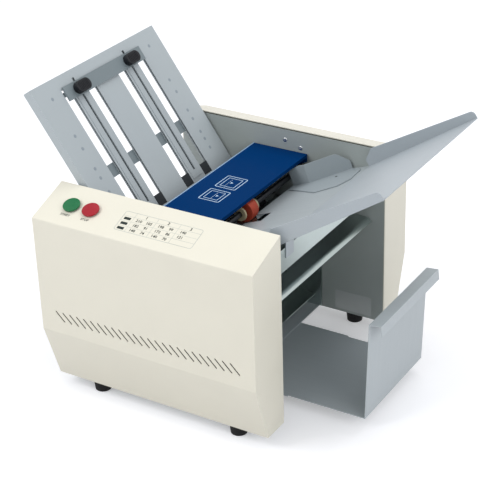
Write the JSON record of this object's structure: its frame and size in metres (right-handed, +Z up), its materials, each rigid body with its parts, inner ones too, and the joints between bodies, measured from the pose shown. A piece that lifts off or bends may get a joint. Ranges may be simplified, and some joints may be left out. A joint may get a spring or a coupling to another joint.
{
  "type": "paper folding machine",
  "caption": "Desktop paper folding machine with a sloped feed table, slotted fold plate with sliding stop, geared fold rollers between two side housings, and a pull-out exit tray.",
  "frame": {"origin": "on the standing surface, under the middle of the whole machine's bounding box", "axes": "+X along the paper feed, towards the feed table and the exit tray; +Z up; the housing with the buttons is on the -Y side"},
  "size_m": [0.6262, 0.509, 0.4966],
  "materials": {
    "cream_paint": "satin powder coat",
    "grey_paint": "fine textured powder coat",
    "dark_paint": "satin paint",
    "blue_paint": "satin paint",
    "zinc": "zinc plated sheet",
    "steel": "turned steel",
    "roller_steel": "steel with bonded rubber sleeves",
    "bronze": "sintered bronze",
    "foot_rubber": "matte",
    "feed_rubber": "matte",
    "pad_rubber": "matte",
    "belt_rubber": "matte",
    "black_plastic": "matte",
    "collar_plastic": "matte",
    "green_plastic": "gloss",
    "red_plastic": "gloss",
    "board": "circuit board"
  },
  "bodies": {
    "frame": {"near_side_plate": "dark_paint", "far_side_plate": "dark_paint", "base_plate": "grey_paint", "rear_panel": "grey_paint", "front_beam": "zinc", "tie_rods": "steel", "near_cover": "cream_paint", "far_cover": "cream_paint", "rubber_feet": "foot_rubber", "case_screws": "steel", "button_bodies": "black_plastic", "control_board": "board", "power_inlet": "black_plastic", "upper_plate_front": "grey_paint", "upper_plate_back": "grey_paint", "upper_plate_rails": "zinc", "upper_plate_cross_bar": "dark_paint", "upper_plate_stop_pads": "black_plastic", "plate_studs": "steel", "lower_plate_top": "zinc", "lower_plate_bottom": "zinc", "cover_hinge_pins": "steel", "feed_table": "grey_paint", "feed_extension": "grey_paint", "separator_arm": "dark_paint", "separator_pad": "pad_rubber", "roller_bushes": "bronze", "idler_pin": "steel", "motor": "dark_paint", "drive_belt": "belt_rubber", "exit_chute": "zinc"},
    "start_button": {"start_button": "green_plastic"},
    "stop_button": {"stop_button": "red_plastic"},
    "upper_stop": {"upper_stop_bar": "dark_paint"},
    "upper_stop_knob_near": {"upper_stop_knob_near": "black_plastic"},
    "upper_stop_knob_far": {"upper_stop_knob_far": "black_plastic"},
    "lower_stop": {"lower_stop_bar": "dark_paint"},
    "lower_stop_knob": {"lower_stop_knob": "black_plastic"},
    "roller_cover": {"roller_cover": "blue_paint"},
    "near_guide": {"near_paper_guide": "grey_paint"},
    "far_guide": {"far_paper_guide": "grey_paint"},
    "near_guide_knob": {"near_guide_knob": "black_plastic"},
    "far_guide_knob": {"far_guide_knob": "black_plastic"},
    "feed_roller": {"feed_shaft": "steel", "feed_tyre": "feed_rubber", "feed_collars": "collar_plastic", "feed_gear": "steel"},
    "roller_1": {"fold_roller_1": "roller_steel", "roller_gears_1": "steel"},
    "roller_2": {"fold_roller_2": "roller_steel", "roller_gears_2": "steel"},
    "roller_3": {"fold_roller_3": "roller_steel", "roller_gears_3": "steel", "drive_pulley": "black_plastic"},
    "roller_4": {"fold_roller_4": "roller_steel", "roller_gears_4": "steel"},
    "idler": {"idler_gear": "bronze"},
    "motor_rotor": {"motor_shaft": "steel", "motor_pulley": "black_plastic"},
    "exit_tray": {"exit_tray": "grey_paint"}
  },
  "joints": [
    {"name": "start_press", "type": "slide", "parent": "frame", "child": "start_button", "axis": [0, 0.3371, -0.9415], "range_m": [0, 0.0016], "stiffness_N_per_m": 400, "springref_m": -0.002},
    {"name": "stop_press", "type": "slide", "parent": "frame", "child": "stop_button", "axis": [0, 0.3371, -0.9415], "range_m": [0, 0.0016], "stiffness_N_per_m": 400, "springref_m": -0.002},
    {"name": "upper_stop_slide", "type": "slide", "parent": "frame", "child": "upper_stop", "axis": [0.5736, 0, -0.8192], "range_m": [0, 0.195]},
    {"name": "upper_knob_near_turn", "type": "hinge", "parent": "upper_stop", "child": "upper_stop_knob_near", "pos_m": [-0.28146, -0.06925, 0.46961], "axis": [0.8192, 0, 0.5736], "range_deg": [0, 90]},
    {"name": "upper_knob_far_turn", "type": "hinge", "parent": "upper_stop", "child": "upper_stop_knob_far", "pos_m": [-0.28146, 0.06925, 0.46961], "axis": [0.8192, 0, 0.5736], "range_deg": [0, 90]},
    {"name": "lower_stop_slide", "type": "slide", "parent": "frame", "child": "lower_stop", "axis": [1, 0, 0], "range_m": [-0.015, 0.06]},
    {"name": "lower_knob_turn", "type": "hinge", "parent": "lower_stop", "child": "lower_stop_knob", "pos_m": [0.02395, 0, 0.2295], "axis": [0, 0, 1], "range_deg": [0, 90]},
    {"name": "roller_cover_hinge", "type": "hinge", "parent": "frame", "child": "roller_cover", "pos_m": [-0.09605, 0, 0.30825], "axis": [0, -1, 0], "range_deg": [0, 95]},
    {"name": "near_guide_slide", "type": "slide", "parent": "frame", "child": "near_guide", "axis": [0, 1, 0], "range_m": [0, 0.05]},
    {"name": "far_guide_slide", "type": "slide", "parent": "frame", "child": "far_guide", "axis": [0, -1, 0], "range_m": [0, 0.05]},
    {"name": "near_guide_knob_turn", "type": "hinge", "parent": "near_guide", "child": "near_guide_knob", "pos_m": [0.08073, -0.137, 0.29705], "axis": [-0.3502, 0, 0.9367], "range_deg": [0, 180]},
    {"name": "far_guide_knob_turn", "type": "hinge", "parent": "far_guide", "child": "far_guide_knob", "pos_m": [0.08073, 0.137, 0.29705], "axis": [-0.3502, 0, 0.9367], "range_deg": [0, 180]},
    {"name": "roller_3_spin", "type": "hinge", "parent": "frame", "child": "roller_3", "pos_m": [-0.09505, 0, 0.202], "axis": [0, 1, 0], "continuous": true},
    {"name": "roller_1_spin", "type": "hinge", "parent": "frame", "child": "roller_1", "pos_m": [-0.08756, 0, 0.27321], "axis": [0, 1, 0], "continuous": true},
    {"name": "roller_2_spin", "type": "hinge", "parent": "frame", "child": "roller_2", "pos_m": [-0.09505, 0, 0.238], "axis": [0, 1, 0], "continuous": true},
    {"name": "roller_4_spin", "type": "hinge", "parent": "frame", "child": "roller_4", "pos_m": [-0.06122, 0, 0.18969], "axis": [0, 1, 0], "continuous": true},
    {"name": "idler_spin", "type": "hinge", "parent": "frame", "child": "idler", "pos_m": [-0.04777, 0, 0.28073], "axis": [0, 1, 0], "continuous": true},
    {"name": "feed_roller_spin", "type": "hinge", "parent": "frame", "child": "feed_roller", "pos_m": [-0.00797, 0, 0.28825], "axis": [0, 1, 0], "continuous": true},
    {"name": "motor_spin", "type": "hinge", "parent": "frame", "child": "motor_rotor", "pos_m": [-0.16705, 0, 0.109], "axis": [0, 1, 0], "continuous": true},
    {"name": "exit_tray_slide", "type": "slide", "parent": "frame", "child": "exit_tray", "axis": [-1, 0, 0], "range_m": [0, 0.1]}
  ],
  "couplings": [
    {"joint": "roller_1_spin", "follows": "roller_3_spin", "ratio": 1},
    {"joint": "roller_2_spin", "follows": "roller_3_spin", "ratio": -1},
    {"joint": "roller_4_spin", "follows": "roller_3_spin", "ratio": -1},
    {"joint": "idler_spin", "follows": "roller_3_spin", "ratio": -0.8},
    {"joint": "feed_roller_spin", "follows": "roller_3_spin", "ratio": 1},
    {"joint": "motor_spin", "follows": "roller_3_spin", "ratio": 3}
  ]
}
